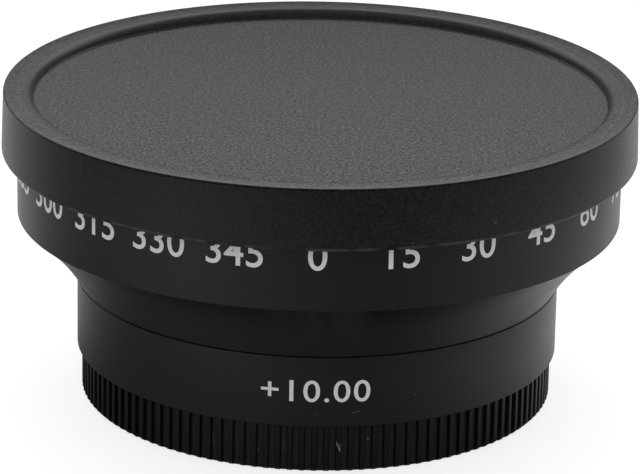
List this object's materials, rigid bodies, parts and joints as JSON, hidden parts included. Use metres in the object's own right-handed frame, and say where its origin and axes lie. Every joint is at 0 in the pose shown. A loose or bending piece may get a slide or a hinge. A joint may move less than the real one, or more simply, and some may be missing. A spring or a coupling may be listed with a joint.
{
  "type": "wide-angle conversion lens",
  "caption": "Screw-on wide-angle conversion lens with a flared barrel, a close-up rear section and a lens cap on each end.",
  "frame": {"origin": "centre of the rear cap's foot, where the lens stands on a table", "axes": "+Z is the optical axis, from the camera side towards the scene; X and Y lie in the plane of the foot"},
  "size_m": [0.0802, 0.0802, 0.0397],
  "materials": {
    "cap_plastic": "fine sandy moulded grain on the panel, smoother skirt",
    "rear_cap_plastic": "smooth moulded black plastic",
    "black_anodised": "satin black anodised, finely turned",
    "number_paint": "pale grey paint of the numbers on the barrels",
    "coated_glass": "polished, with a faint blue-green coating"
  },
  "bodies": {
    "rear_cap": {"rear_cap": "rear_cap_plastic"},
    "macro_section": {"macro_barrel": "black_anodised", "macro_element": "coated_glass", "macro_retaining_ring": "black_anodised"},
    "wide_glass": {"front_element": "coated_glass", "inner_element": "coated_glass"},
    "wide_section": {"wide_barrel": "black_anodised", "front_retaining_ring": "black_anodised", "inner_retaining_ring": "black_anodised"},
    "front_cap": {"front_cap": "cap_plastic"}
  },
  "joints": [
    {"name": "rear_cap_off", "type": "slide", "parent": "rear_cap", "child": "macro_section", "axis": [0, 0, 1], "range_m": [0, 0.02]},
    {"name": "wide_section_advance", "type": "slide", "parent": "macro_section", "child": "wide_glass", "axis": [0, 0, 1], "range_m": [0, 0.0036]},
    {"name": "wide_section_screw", "type": "hinge", "parent": "wide_glass", "child": "wide_section", "pos_m": [0, 0, 0.0135], "axis": [0, 0, 1], "range_deg": [0, 1710]},
    {"name": "front_cap_lift", "type": "slide", "parent": "wide_section", "child": "front_cap", "axis": [0, 0, 1], "range_m": [0, 0.025]}
  ],
  "couplings": [
    {"joint": "wide_section_advance", "follows": "wide_section_screw", "m_per_rad": 0.00011937}
  ]
}
